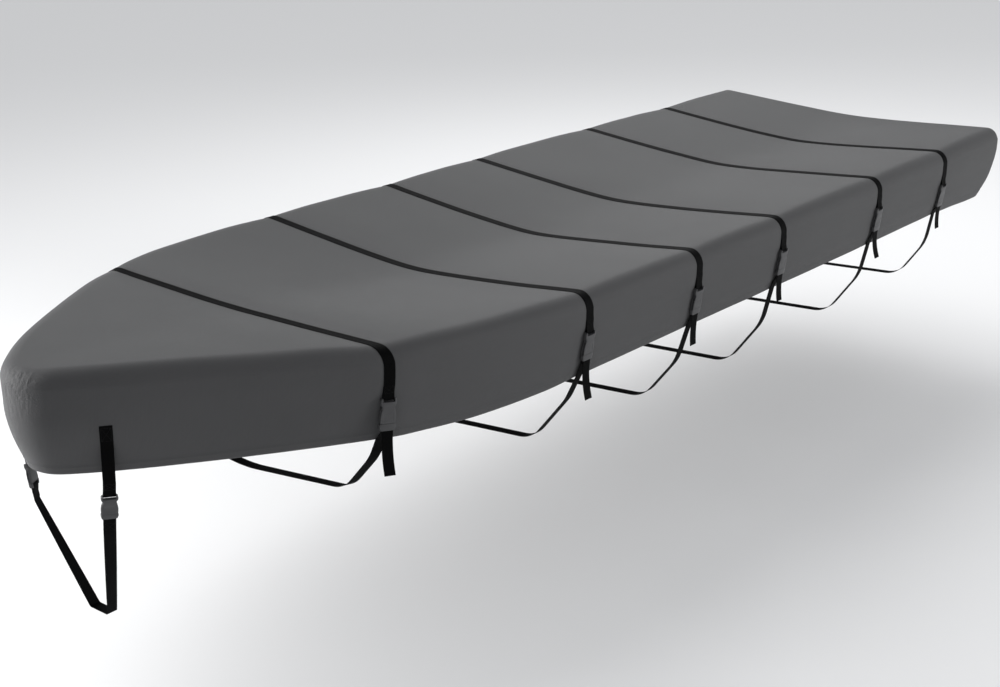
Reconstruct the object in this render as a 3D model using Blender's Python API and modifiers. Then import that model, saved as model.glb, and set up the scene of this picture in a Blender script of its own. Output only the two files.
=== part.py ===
# Fitted boat cover for a 16 ft open boat: one hollow cloth shell, six girth straps with
# side-release buckles, and a bow tie-down of three webbing lengths and two buckles.
# Metres, +Z up, bow towards -X, port (buckled side) towards -Y.  The origin lies under
# the cloth of the top, on the centreline at mid-length.
import math

import bmesh
import bpy
from mathutils import Matrix, Vector

# ---------------------------------------------------------------- driving dimensions
CLOTH = 0.0015             # thickness of the coated cloth
SEAT_GAP = 0.0003          # gap between pieces that touch
NOSE_X = -2.484            # foremost point of the cover
NOSE_RADIUS = 0.175        # plan radius of the blunt bow
NOSE_ARC = 46.5            # half angle of that arc, degrees
STERN_X = 2.549            # aftmost face of the cover
STERN_CORNER = 0.057       # plan radius of the stern corners
CORNER_TIGHTEN = 0.3       # share of the side's lean by which that radius shrinks below
SHOULDER_RADIUS = 0.055    # rounding between top and side
ARC_STEPS = 4              # facets round that shoulder
SAG_POWER = 1.2            # shape of the top's sag between the two crests
SAG_FADE = 0.140           # the sag dies out this far down the wall across the stern
TOP_SHARES = (0.86, 0.66, 0.44, 0.22, 0.0)     # lines along the top, in shares of its half width
BODY_START_X = -2.429      # here the bow's arc ends and the sides begin
FAN_END_X = -1.900         # aft of here the walls lean in straight across the boat
SLOPE_STEP = 0.010         # half step over which the sides' plan slope is taken
LEAST_REACH = 0.2          # keeps a lean finite where the wall is nearly edge on

# Sections from bow to stern: x, half width, crest, sag, hem.  The crest is the height of
# the gunwale line, sag how far the middle of the top lies below it, hem the lower edge.
SECTIONS = (
    (-2.484, 0.060, 0.1460, 0.000, -0.182),
    (-2.429, 0.128, 0.1490, 0.000, -0.182),
    (-2.300, 0.240, 0.1505, 0.002, -0.182),
    (-2.100, 0.377, 0.1445, 0.004, -0.185),
    (-1.900, 0.507, 0.1320, 0.006, -0.187),
    (-1.750, 0.594, 0.1235, 0.010, -0.190),
    (-1.610, 0.667, 0.1110, 0.015, -0.195),
    (-1.500, 0.698, 0.1110, 0.019, -0.201),
    (-1.250, 0.746, 0.1010, 0.040, -0.214),
    (-0.950, 0.779, 0.0905, 0.062, -0.217),
    (-0.758, 0.787, 0.0855, 0.064, -0.213),
    (-0.089, 0.789, 0.0725, 0.070, -0.221),
    (0.000, 0.789, 0.0715, 0.070, -0.222),
    (0.488, 0.795, 0.0655, 0.061, -0.224),
    (1.290, 0.790, 0.0555, 0.058, -0.238),
    (1.940, 0.780, 0.0445, 0.056, -0.248),
    (2.300, 0.775, 0.0440, 0.048, -0.262),
    (2.549, 0.773, 0.0450, 0.034, -0.268),
)

# Side wall below the shoulder: distance under the crest and how far it has leaned in,
# then how much more it leans in at the bow and at the stern.
SIDE_ROWS = (
    (0.105, 0.0020, -0.001, -0.002),
    (0.170, 0.0136, -0.011, -0.008),
    (0.240, 0.0260, -0.009, 0.008),
)
STATIONS = (-2.38, -2.27, -2.18, -2.10, -2.01, -1.92, -1.83, -1.73, -1.55, -1.47, -1.36, -1.22, -1.05,
            -0.90, -0.58, -0.36, 0.10, 0.29, 0.70, 0.92, 1.12, 1.48, 1.72, 2.09, 2.24)
HEM_LEANS = (0.045, 0.003, 0.055)   # lean at the hem: side, extra at the bow, at the stern
HEM_LIP_IN = 0.010         # the elastic edge curls under the boat's side by this much
HEM_LIP_DOWN = 0.006

# Webbing: the girth straps run from a socket on the port side over the top, under the
# hull and back up to the plug, where the free tail hangs.
WEB_WIDTH = 0.038
WEB = 0.0015               # webbing thickness
SEAM = 0.040               # length of each sewn fold-back
CLEAR = 0.0020             # webbing passes the hem's edge this far off
OFF = SEAT_GAP + WEB / 2   # middle of a band that lies on something
FOLD_LIFT = 2.2 * WEB      # middle of the upper layer halfway along a sewn fold
SEAM_LIFT = 1.95 * WEB     # and at the fold's end
SETTLE = 1.45 * SEAM       # from this far off the bar it lies on the cover
BAR_LEAVE = 0.003          # the band leaves the bar's front here
BUCKLE_LIFT = 2 * OFF + 0.0001     # the back of a buckle, with the band behind its bar
TURN_BELOW = 0.004         # the band's turn over the crossbar starts below the plug
STRIP = 0.040              # the cover is straight along the boat this wide under a strap
# x, how far the socket's bar lies under the crest, how far the plug's end stands off the
# cover, the tail's length and how far its end swings out, then the hull's side and chine
# as (y, z), and the keel's height
STRAPS = (
    (-1.613, 0.160, 0.018, 0.132, 0.036, (0.588, -0.264), (0.470, -0.402), -0.455),
    (-0.764, 0.130, 0.002, 0.135, 0.030, (0.697, -0.310), (0.550, -0.494), -0.540),
    (-0.096, 0.136, 0.002, 0.119, 0.014, (0.702, -0.365), (0.560, -0.544), -0.585),
    (0.488, 0.122, 0.002, 0.105, 0.016, (0.716, -0.375), (0.568, -0.572), -0.608),
    (1.290, 0.122, 0.002, 0.112, 0.030, (0.716, -0.380), (0.575, -0.575), -0.612),
    (1.932, 0.147, 0.002, 0.100, 0.016, (0.711, -0.390), (0.590, -0.562), -0.600),
)
FLANK_RADIUS = 0.220       # how softly the webbing turns on the hull's side,
CHINE_RADIUS = 0.120       # at its chine
KEEL_RADIUS = 0.600        # and at the keel

# Bow tie-down: webbing sewn to each side of the bow, and a loop round the trailer's tongue
BOW_STRAP_X = -2.331
BOW_SEAM_DROP = 0.173      # top of the sewn end below the crest
BOW_SEAM = 0.060           # length sewn to the cover; below it the webbing hangs clear
BOW_BAR = (-2.322, -0.190, -0.247)     # the port socket's bar
BOW_FOOT = (-2.318, -0.174, -0.336)    # a point below it that the buckle hangs towards
BOW_ANGLE = 40             # plan angle of the bow there, degrees
BOW_STRIP_HALF = STRIP / 2 * math.cos(math.radians(BOW_ANGLE))
BOW_TURN = 0.2             # how far the bow buckles have turned towards square ahead
TONGUE_X = -2.243
TONGUE_HALF = 0.042        # half width and underside of the loop round the tongue
TONGUE_Z = -0.725
TONGUE_RADIUS = 0.008
BOW_FOLD = 0.015           # the sewn end over each bow socket starts here
LOOP_FOLD = 0.020          # and the one under each bow plug

# Side-release buckles.  Outlines: share of the length from the top, share of half width.
BUCKLE_THICK = 0.013
STRAP_BUCKLE = (0.104, 0.052)      # length, width
BOW_BUCKLE = (0.080, 0.050)
SOCKET_OUTLINE = ((0.00, 0.88), (0.03, 0.97), (0.07, 1.00), (0.16, 1.00), (0.21, 0.90), (0.27, 0.77),
                  (0.33, 0.82), (0.44, 0.94), (0.56, 1.00), (0.70, 1.00), (0.776, 0.97))
PLUG_OUTLINE = ((0.784, 0.97), (0.82, 1.03), (0.88, 1.03), (0.95, 0.95), (1.00, 0.88))
PRONG_OUTLINE = ((0.79, 0.85), (0.58, 0.89), (0.46, 0.84), (0.39, 0.72), (0.39, 0.55), (0.58, 0.60),
                 (0.74, 0.52), (0.74, 0.16), (0.48, 0.16))
SLOT_HALF = 0.0197         # half width of the openings that the webbing passes
BAR = 0.005                # the socket's bar, square
SLOT = 0.0065              # gap under the bar
MOUTH = (0.35, 0.0035, 0.0095)     # socket cavity: share of length where it ends, floor, ceiling
PRONG_PLAY = 0.0005
CROSSBAR = 0.004           # the plug's adjuster bar, square
CROSSBAR_UP = 0.005        # its underside above the plug's lower edge
ADJUSTER_HEIGHT = 0.014    # height of the pocket that holds it
FACE = 0.0025              # the plug's front wall over the adjuster
ADJUSTER_PLAY = 0.0004     # room between that wall and the webbing
CUT = 0.001                # a cutter reaches this far past a face

CLOTH_GREY = (0.060, 0.060, 0.062)
WEB_BLACK = (0.006, 0.006, 0.007)
BUCKLE_GREY = (0.050, 0.050, 0.052)


# ---------------------------------------------------------------- small helpers
def lerp(a, b, t):
    return a + (b - a) * t


def spline(table, x, column):
    """Smooth value of a table column at x, with the slopes of its neighbours."""
    xs = [row[0] for row in table]
    ys = [row[column] for row in table]
    x = min(max(x, xs[0]), xs[-1])
    i = max(j for j in range(len(xs) - 1) if xs[j] <= x)

    def slope(j):
        low = max(j - 1, 0)
        high = min(j + 1, len(xs) - 1)
        return (ys[high] - ys[low]) / (xs[high] - xs[low])

    step = xs[i + 1] - xs[i]
    t = (x - xs[i]) / step
    rise = (2 * t**3 - 3 * t**2 + 1) * ys[i] + (-2 * t**3 + 3 * t**2) * ys[i + 1]
    return rise + step * ((t**3 - 2 * t**2 + t) * slope(i) + (t**3 - t**2) * slope(i + 1))


def make_material(name, colour, roughness):
    material = bpy.data.materials.new(name)
    material.use_nodes = True
    shader = material.node_tree.nodes["Principled BSDF"]
    shader.inputs["Base Color"].default_value = (*colour, 1.0)
    shader.inputs["Roughness"].default_value = roughness
    shader.inputs["Metallic"].default_value = 0.0
    return material


def add_object(name, mesh, material):
    piece = bpy.data.objects.new(name, mesh)
    parts.objects.link(piece)
    mesh.materials.clear()
    mesh.materials.append(material)
    return piece


def mesh_from(name, points, faces):
    mesh = bpy.data.meshes.new(name)
    mesh.from_pydata([tuple(p) for p in points], [], faces)
    return mesh


# ---------------------------------------------------------------- the cover's surface
def outline_point(x):
    """Widest point of the starboard side at x and the plan normal pointing outboard."""
    y = spline(SECTIONS, x, 1)
    rise = spline(SECTIONS, x + SLOPE_STEP, 1) - spline(SECTIONS, x - SLOPE_STEP, 1)
    return Vector((x, y, 0)), Vector((-rise / (2 * SLOPE_STEP), 1, 0)).normalized()


def wall_rows(shape_x, bow_share, stern_share):
    """The wall's profile as (lean, down), from the rim of the top to the curled hem."""
    depth = spline(SECTIONS, shape_x, 2) - spline(SECTIONS, shape_x, 4)
    rows = []
    for step in range(ARC_STEPS + 1):
        angle = math.radians(90 * step / ARC_STEPS)
        rows.append((SHOULDER_RADIUS * (1 - math.sin(angle)), SHOULDER_RADIUS * (1 - math.cos(angle))))
    for down, lean, bow, stern in SIDE_ROWS:
        rows.append((lean + bow_share * bow + stern_share * stern, down))
    hem_lean = HEM_LEANS[0] + bow_share * HEM_LEANS[1] + stern_share * HEM_LEANS[2]
    rows.append((hem_lean, depth))
    rows.append((hem_lean + HEM_LIP_IN, depth + HEM_LIP_DOWN))
    return rows


def wall_column(point, normal, inward, bow_share, shape_x):
    """Points down the wall at one place on the outline."""
    crest = spline(SECTIONS, shape_x, 2)
    reach = 1 / max(inward.dot(-normal), LEAST_REACH)
    return [point + inward * (lean * reach) + Vector((0, 0, crest - down))
            for lean, down in wall_rows(shape_x, bow_share, 0.0)]


def body_column(x, middle=None):
    """Starboard wall at x.  Near the bow it leans in square to the wall.  The two edges of
    a strip under webbing take the shape at the strip's middle, so that it is flat."""
    if middle is None:
        middle = x
    point, _ = outline_point(x)
    _, normal = outline_point(middle)
    fan = min(max((FAN_END_X - middle) / (FAN_END_X - BODY_START_X), 0), 1)
    inward = Vector((-normal.x * fan, -normal.y, 0)).normalized()
    return wall_column(point, normal, inward, fan**2, middle)


def nose_column(angle):
    """Starboard wall on the bow's arc, at an angle from dead ahead."""
    centre = Vector((NOSE_X + NOSE_RADIUS, 0, 0))
    normal = Vector((-math.cos(angle), math.sin(angle), 0))
    point = centre + normal * NOSE_RADIUS
    return wall_column(point, normal, -normal, 1.0, point.x)


def stern_column(angle):
    """Wall on the starboard stern corner, 0 facing starboard and 90 degrees facing aft.  Each
    level turns on its own arc between the lean of the side and that of the transom."""
    crest = spline(SECTIONS, STERN_X, 2)
    half = spline(SECTIONS, STERN_X - STERN_CORNER, 1)
    column = []
    side_rows = wall_rows(STERN_X, 0.0, 0.0)
    back_rows = wall_rows(STERN_X, 0.0, 1.0)
    for level, ((side_lean, down), (back_lean, _)) in enumerate(zip(side_rows, back_rows)):
        shrink = 1 if level < ARC_STEPS else CORNER_TIGHTEN
        radius = STERN_CORNER - side_lean * shrink
        column.append(Vector((STERN_X - back_lean - radius * (1 - math.sin(angle)),
                              half - side_lean - radius * (1 - math.cos(angle)), crest - down)))
    return column


def transom_column(share, corner, drop):
    """Wall across the stern at a share of its half width.  It sags with the top, less and
    less further down."""
    column = []
    for p in corner:
        t = min((corner[0].z - p.z) / SAG_FADE, 1)
        column.append(Vector((p.x, p.y * share, p.z + drop * (1 - t * t * (3 - 2 * t)))))
    return column


def top_line(rim):
    """Points across the top from just inside the starboard rim to the centreline."""
    sag = spline(SECTIONS, rim.x, 3)
    return [Vector((rim.x, rim.y * t, rim.z - sag * (1 - t**SAG_POWER))) for t in TOP_SHARES]


def body_columns():
    """Starboard walls from bow to stern, with a flat strip under each length of webbing."""
    strips = [(row[0], STRIP / 2) for row in STRAPS] + [(BOW_STRAP_X, BOW_STRIP_HALF)]
    stations = [(x, x) for x in STATIONS]
    for middle, half in strips:
        stations += [(middle - half, middle), (middle + half, middle)]
    return [body_column(x, middle) for x, middle in sorted(stations)]


def mirrored(column):
    return [Vector((p.x, -p.y, p.z)) for p in column]


def build_cover(material):
    """The cloth: a tub of wall columns round the outline, closed by the lines of the top."""
    nose_angles = [math.radians(NOSE_ARC * share) for share in (1.0, 0.75, 0.5)]
    stern_angles = [math.radians(a) for a in (0, 30, 60, 90)]
    side = [nose_column(a) for a in reversed(nose_angles)]
    side += body_columns()
    side += [stern_column(a) for a in stern_angles]
    lines = [top_line(column[0]) for column in side]
    front = [nose_column(nose_angles[-1] * t) for t in TOP_SHARES]
    back = [transom_column(t, side[-1], p.z - side[-1][0].z) for t, p in zip(TOP_SHARES, lines[-1])]
    lines[0] = [column[0] for column in front]
    across = len(TOP_SHARES)
    rows = len(side[0])

    points = []
    index = {}

    def vertex(key, point):
        if key not in index:
            index[key] = len(points)
            points.append(point)
        return index[key]

    # a full line across: starboard rim, starboard shares, centre, port shares, port rim
    def line_keys(j):
        keys = [vertex(("rim", 1, j), side[j][0])]
        for k in range(across):
            keys.append(vertex(("top", 1, j, k), lines[j][k]))
        for k in range(across - 2, -1, -1):
            flipped = Vector((lines[j][k].x, -lines[j][k].y, lines[j][k].z))
            keys.append(vertex(("top", -1, j, k), flipped))
        keys.append(vertex(("rim", -1, j), mirrored(side[j])[0]))
        return keys

    faces = []
    top_rows = [line_keys(j) for j in range(len(side))]
    for fore, aft in zip(top_rows, top_rows[1:]):
        for k in range(len(fore) - 1):
            faces.append((fore[k], fore[k + 1], aft[k + 1], aft[k]))

    # the wall goes round: starboard bow to stern, transom, port stern to bow, front
    wall = [[top_rows[j][0]] + [vertex(("w", 1, j, r), side[j][r]) for r in range(1, rows)]
            for j in range(len(side))]
    last = len(side) - 1
    ends = ((back, top_rows[last], "b"), (front, top_rows[0], "f"))
    end_walls = {}
    for columns, rim_keys, tag in ends:
        inner = []
        for k in range(2 * across - 1):
            share = k if k < across else 2 * across - 2 - k
            column = columns[share] if k < across else mirrored(columns[share])
            inner.append([rim_keys[k + 1]] + [vertex((tag, k, r), column[r]) for r in range(1, rows)])
        end_walls[tag] = inner
    port = [[top_rows[j][-1]] + [vertex(("w", -1, j, r), mirrored(side[j])[r]) for r in range(1, rows)]
            for j in range(len(side))]
    ring = wall + end_walls["b"] + port[::-1] + end_walls["f"][::-1]
    for j in range(len(ring)):
        here = ring[j]
        there = ring[(j + 1) % len(ring)]
        for r in range(rows - 1):
            faces.append((here[r], there[r], there[r + 1], here[r + 1]))

    mesh = mesh_from("cover", points, faces)
    cover = add_object("cover", mesh, material)
    shell = cover.modifiers.new("cloth", "SOLIDIFY")
    shell.thickness = CLOTH
    shell.offset = -1
    shell.use_even_offset = True
    return cover


# ---------------------------------------------------------------- webbing
def strip_profile(x, half_step):
    """Line over the cover at x, port hem to starboard hem: (centre, width direction)."""
    fore = body_column(x - half_step, x)
    aft = body_column(x + half_step, x)
    fore_line = fore[:-1][::-1] + top_line(fore[0])
    aft_line = aft[:-1][::-1] + top_line(aft[0])
    starboard = [((a + b) / 2, (b - a).normalized()) for a, b in zip(fore_line, aft_line)]
    return [flipped_point(p) for p in starboard] + starboard[:-1][::-1]


def flip(vector):
    return Vector((vector.x, -vector.y, vector.z))


def flipped_point(point):
    return flip(point[0]), flip(point[1])


def arc_positions(path):
    positions = [0.0]
    for (a, _), (b, _) in zip(path, path[1:]):
        positions.append(positions[-1] + (b - a).length)
    return positions


def place(path, positions, s):
    """Point, width direction, tangent and outward normal at distance s along a path."""
    i = max(j for j in range(len(path) - 1) if positions[j] <= s or j == 0)
    share = (s - positions[i]) / (positions[i + 1] - positions[i])
    point = lerp(path[i][0], path[i + 1][0], share)
    width = lerp(path[i][1], path[i + 1][1], share).normalized()
    tangent = (path[i + 1][0] - path[i][0]).normalized()
    return point, width, tangent, width.cross(tangent).normalized()


def stepped(value, steps):
    """Straight-line interpolation in a list of (position, height)."""
    for (a, low), (b, high) in zip(steps, steps[1:]):
        if value <= b:
            return lerp(low, high, min(max((value - a) / (b - a), 0), 1))
    return steps[-1][1]


def raised(path, positions, steps, start, end):
    """The part of a path between two distances, lifted off it by stepped heights."""
    marks = {round(s, 5) for s in positions if start < s < end}
    marks |= {round(s, 5) for s, _ in steps if start <= s <= end} | {start, end}
    result = []
    for s in sorted(marks):
        point, width, _, before = place(path, positions, s - 1e-5)
        _, _, _, after = place(path, positions, s + 1e-5)
        normal = (before + after).normalized()
        result.append((point + normal * (stepped(s, steps) / normal.dot(after)), width))
    return result


def rounded(corners, radii, steps):
    """Polyline of points with each inner corner replaced by an arc."""
    result = [corners[0]]
    for before, corner, after, radius in zip(corners, corners[1:], corners[2:], radii):
        into = (corner - before).normalized()
        out = (after - corner).normalized()
        half = into.angle(out) / 2
        inward = (out - into).normalized()
        ahead = (into + out).normalized()
        centre = corner + inward * (radius / math.cos(half))
        for step in range(steps + 1):
            angle = (2 * step / steps - 1) * half
            result.append(centre - inward * (radius * math.cos(angle)) + ahead * (radius * math.sin(angle)))
    result.append(corners[-1])
    return result


def build_ribbon(name, path):
    """A flat band whose middle surface runs through the path's points."""
    points = []
    for centre, width in path:
        points.append(centre - width * (WEB_WIDTH / 2))
        points.append(centre + width * (WEB_WIDTH / 2))
    faces = [(2 * i, 2 * i + 1, 2 * i + 3, 2 * i + 2) for i in range(len(path) - 1)]
    ribbon = add_object(name, mesh_from(name, points, faces), webbing)
    band = ribbon.modifiers.new("webbing", "SOLIDIFY")
    band.thickness = WEB
    band.offset = 0
    band.use_even_offset = True
    return ribbon


def buckle_frame(point, width, up):
    """Placing matrix of a buckle: X across, Y up along the strap, Z off the boat."""
    up = up.normalized()
    normal = width.cross(up).normalized()
    across = up.cross(normal).normalized()
    frame = Matrix((across, up, normal)).transposed().to_4x4()
    frame.translation = point
    return frame


def bar_wrap(frame, width):
    """Band round the socket's bar, from behind it to the front, in the buckle's frame."""
    corners = [Vector((0, 0, -OFF)), Vector((0, -BAR - OFF, -OFF)), Vector((0, -BAR - OFF, BAR + OFF)),
               Vector((0, 0, BAR + OFF))]
    return [(frame @ p, width) for p in rounded(corners, (OFF, OFF), 3)]


def crossbar_wrap(frame, width, length):
    """Band over the plug's crossbar, up behind it and down inside the front wall."""
    top = -length + CROSSBAR_UP + CROSSBAR + OFF
    back = crossbar_depth() - OFF
    front = crossbar_depth() + CROSSBAR + OFF
    low = -length - TURN_BELOW
    corners = [Vector((0, low, back)), Vector((0, top, back)), Vector((0, top, front)), Vector((0, low, front))]
    return [(frame @ p, width) for p in rounded(corners, (OFF, OFF), 3)]


def crossbar_depth():
    """Back of the crossbar above the back of the buckle."""
    return BUCKLE_THICK - FACE - 2 * SEAT_GAP - WEB - ADJUSTER_PLAY - CROSSBAR


def strap_path(x, bar_drop, stand, tail, flare, flank, chine, keel_z):
    """Middle line of a girth strap and the frame of its buckle."""
    over = strip_profile(x, STRIP / 2)
    positions = arc_positions(over)
    bar_z = spline(SECTIONS, x, 2) - bar_drop
    lower = max(i for i, (p, _) in enumerate(over[:len(over) // 2]) if p.z <= bar_z)
    share = (bar_z - over[lower][0].z) / (over[lower + 1][0].z - over[lower][0].z)
    bar_s = lerp(positions[lower], positions[lower + 1], share)
    point, width, up, normal = place(over, positions, bar_s)
    length = STRAP_BUCKLE[0]
    frame = buckle_frame(point + normal * BUCKLE_LIFT, width, up * length - normal * stand)
    across = frame.col[0].to_3d()

    # sewn end behind the bar, round the bar, up the side and over the top
    end_s = positions[-1]
    path = raised(over, positions, [(0, OFF), (end_s, OFF)], bar_s + 0.001, bar_s + SEAM)[::-1]
    path += bar_wrap(frame, across)
    heights = [(bar_s + BAR_LEAVE, BUCKLE_LIFT + BAR + OFF), (bar_s + SEAM / 2, FOLD_LIFT),
               (bar_s + SEAM, SEAM_LIFT), (bar_s + SETTLE, OFF), (end_s - SEAM, OFF), (end_s, CLEAR + WEB)]
    path += raised(over, positions, heights, bar_s + BAR_LEAVE, end_s)

    # down the hull's side, under the keel, up past the port hem and to the plug's crossbar
    half_hull = [path[-1][0], Vector((x, *flank)), Vector((x, *chine))]
    hull = half_hull + [Vector((x, 0, keel_z))] + [flip(p) for p in half_hull[::-1]]
    radii = (FLANK_RADIUS, CHINE_RADIUS, KEEL_RADIUS, CHINE_RADIUS, FLANK_RADIUS)
    starboard_width = path[-1][1]
    for p in rounded(hull, radii, 4)[1:]:
        turn = min(abs(p.y) / flank[0], 1)
        goal = starboard_width if p.y > 0 else flip(starboard_width)
        path.append((p, lerp(Vector((1, 0, 0)), goal, turn).normalized()))
    wrap = crossbar_wrap(frame, across, length)
    path += wrap
    tail_start = wrap[-1][0]
    for step in range(1, 7):
        t = step / 6
        drop = frame.to_3x3() @ Vector((0, -tail * t, flare * t * t))
        path.append((tail_start + drop, across))
    return path, frame


def bow_paths():
    """Port bow webbing, the frame of its buckle, and the whole loop round the tongue."""
    over = strip_profile(BOW_STRAP_X, BOW_STRIP_HALF)
    positions = arc_positions(over)
    top_z = spline(SECTIONS, BOW_STRAP_X, 2) - BOW_SEAM_DROP
    upper = min(i for i, (p, _) in enumerate(over) if p.z > top_z)
    share = (top_z - over[upper - 1][0].z) / (over[upper][0].z - over[upper - 1][0].z)
    top_s = lerp(positions[upper - 1], positions[upper], share)
    sewn = raised(over, positions, [(0, OFF), (top_s, OFF)], top_s - BOW_SEAM, top_s)

    # the free run hangs clear of the hem and carries the buckle
    bar = Vector(BOW_BAR)
    width = lerp(sewn[0][1], Vector((1, 0, 0)), BOW_TURN)
    frame = buckle_frame(bar, width, bar - Vector(BOW_FOOT))
    across = frame.col[0].to_3d()
    front = BAR + OFF
    folded = front - WEB - SEAT_GAP
    path = [(frame @ Vector((0, SEAM, folded)), across), (frame @ Vector((0, BOW_FOLD, folded)), across)]
    path += bar_wrap(frame, across)
    path += [(frame @ Vector((0, BOW_FOLD, front)), across), (frame @ Vector((0, SEAM, front)), across)]
    path += sewn

    # half of the loop: sewn end, crossbar, down to the tongue and under it
    length = BOW_BUCKLE[0]
    depth = crossbar_depth() + CROSSBAR + OFF
    folded = depth - WEB - SEAT_GAP
    half = [(frame @ Vector((0, -length - SEAM, folded)), across),
            (frame @ Vector((0, -length - LOOP_FOLD, folded)), across)]
    half += crossbar_wrap(frame, across, length)
    start = frame @ Vector((0, -length - SEAM - TURN_BELOW, depth))
    half.append((start, across))
    corners = [start, Vector((TONGUE_X, -TONGUE_HALF, TONGUE_Z)), Vector((TONGUE_X, 0, TONGUE_Z))]
    turn = rounded(corners, (TONGUE_RADIUS,), 4)
    for step in range(1, 6):
        t = step / 6
        half.append((lerp(start, turn[1], t), lerp(across, Vector((1, 0, 0)), t).normalized()))
    half += [(p, Vector((1, 0, 0))) for p in turn[1:-1]]
    return path, frame, half + [flipped_point(p) for p in half[::-1]]


# ---------------------------------------------------------------- buckles
def prism(name, outline, along_x, low, high):
    """Straight-sided solid: an outline in X,Y raised along Z, or one in Y,Z along X."""
    shape = bmesh.new()
    if along_x:
        corners = [shape.verts.new((low, a, b)) for a, b in outline]
        reach = Vector((high - low, 0, 0))
    else:
        corners = [shape.verts.new((a, b, low)) for a, b in outline]
        reach = Vector((0, 0, high - low))
    raised_face = bmesh.ops.extrude_face_region(shape, geom=[shape.faces.new(corners)])
    moved = [v for v in raised_face["geom"] if isinstance(v, bmesh.types.BMVert)]
    bmesh.ops.translate(shape, verts=moved, vec=reach)
    bmesh.ops.recalc_face_normals(shape, faces=shape.faces)
    mesh = bpy.data.meshes.new(name)
    shape.to_mesh(mesh)
    shape.free()
    solid = bpy.data.objects.new(name, mesh)
    cutters.objects.link(solid)
    solid.hide_render = True
    solid.display_type = "WIRE"
    return solid


def outline_of(shares, size):
    """Closed outline, symmetric about X = 0, from shares of length and half width."""
    length, width = size
    right = [(across * width / 2, -along * length) for along, across in shares]
    return right + [(-x, y) for x, y in right[::-1]]


def combine(target, other, operation):
    step = target.modifiers.new(operation.lower(), "BOOLEAN")
    step.operation = operation
    step.object = other


def baked(solid, name):
    """The finished mesh of a solid with its Booleans."""
    bpy.context.view_layer.update()
    finished = solid.evaluated_get(bpy.context.evaluated_depsgraph_get())
    mesh = bpy.data.meshes.new_from_object(finished)
    mesh.name = name
    return mesh


def socket_mesh(name, size):
    length, width = size
    body = prism(name + "_body", outline_of(SOCKET_OUTLINE, size), False, 0, BUCKLE_THICK)
    past = BUCKLE_THICK + CUT
    opening = ((-BAR - SLOT, -CUT), (-BAR, -CUT), (-BAR, BAR), (CUT, BAR), (CUT, past),
               (-BAR - SLOT, past))
    web_gap = prism(name + "_web_gap", opening, True, -SLOT_HALF, SLOT_HALF)
    end, floor, ceiling = MOUTH
    cavity_outline = ((-length, floor), (-end * length, floor), (-end * length, ceiling), (-length, ceiling))
    cavity = prism(name + "_cavity", cavity_outline, True, -width, width)
    combine(body, web_gap, "DIFFERENCE")
    combine(body, cavity, "DIFFERENCE")
    return baked(body, name)


def plug_mesh(name, size):
    length, width = size
    base = prism(name + "_base", outline_of(PLUG_OUTLINE, size), False, 0, BUCKLE_THICK)
    low = -length
    pocket_outline = ((low - CUT, -CUT), (low + ADJUSTER_HEIGHT, -CUT),
                      (low + ADJUSTER_HEIGHT, BUCKLE_THICK - FACE), (low - CUT, BUCKLE_THICK - FACE))
    pocket = prism(name + "_pocket", pocket_outline, True, -SLOT_HALF, SLOT_HALF)
    depth = crossbar_depth()
    bar_low = low + CROSSBAR_UP
    bar_outline = ((bar_low, depth), (bar_low + CROSSBAR, depth), (bar_low + CROSSBAR, depth + CROSSBAR),
                   (bar_low, depth + CROSSBAR))
    bar = prism(name + "_crossbar", bar_outline, True, -SLOT_HALF - CUT, SLOT_HALF + CUT)
    _, floor, ceiling = MOUTH
    prongs = prism(name + "_prongs", outline_of(PRONG_OUTLINE, size), False, floor + PRONG_PLAY,
                   ceiling - PRONG_PLAY)
    combine(base, pocket, "DIFFERENCE")
    combine(base, bar, "UNION")
    combine(base, prongs, "UNION")
    return baked(base, name)


def place_buckle(name, mesh, frame):
    piece = bpy.data.objects.new(name, mesh)
    parts.objects.link(piece)
    piece.matrix_world = frame


def mirrored_frame(frame):
    """The same buckle on the other side: it is symmetric, so its X is turned about."""
    across, up, normal, place_at = (flip(frame.col[i].to_3d()) for i in range(4))
    result = Matrix((-across, up, normal)).transposed().to_4x4()
    result.translation = place_at
    return result


# ---------------------------------------------------------------- the whole cover
for old in list(bpy.data.objects):
    bpy.data.objects.remove(old, do_unlink=True)
parts = bpy.data.collections.new("boat_cover")
bpy.context.scene.collection.children.link(parts)
cutters = bpy.data.collections.new("cutters")
bpy.context.scene.collection.children.link(cutters)

cloth = make_material("cover_cloth", CLOTH_GREY, 0.85)
webbing = make_material("black_webbing", WEB_BLACK, 0.7)
plastic = make_material("grey_plastic", BUCKLE_GREY, 0.45)

build_cover(cloth)

strap_socket = socket_mesh("strap_socket", STRAP_BUCKLE)
strap_plug = plug_mesh("strap_plug", STRAP_BUCKLE)
bow_socket = socket_mesh("bow_socket", BOW_BUCKLE)
bow_plug = plug_mesh("bow_plug", BOW_BUCKLE)
for mesh in (strap_socket, strap_plug, bow_socket, bow_plug):
    mesh.materials.clear()
    mesh.materials.append(plastic)

for number, row in enumerate(STRAPS, start=1):
    line, buckle = strap_path(*row)
    build_ribbon(f"strap_{number}", line)
    place_buckle(f"strap_{number}_socket", strap_socket, buckle)
    place_buckle(f"strap_{number}_plug", strap_plug, buckle)

bow_line, bow_frame, loop_line = bow_paths()
build_ribbon("bow_strap_port", bow_line)
build_ribbon("bow_strap_starboard", [flipped_point(p) for p in bow_line])
build_ribbon("bow_loop", loop_line)
for side, frame in (("port", bow_frame), ("starboard", mirrored_frame(bow_frame))):
    place_buckle(f"bow_socket_{side}", bow_socket, frame)
    place_buckle(f"bow_plug_{side}", bow_plug, frame)
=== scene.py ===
import math

import bmesh
import bpy
from mathutils import Matrix, Vector, noise
from mathutils.bvhtree import BVHTree


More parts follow.
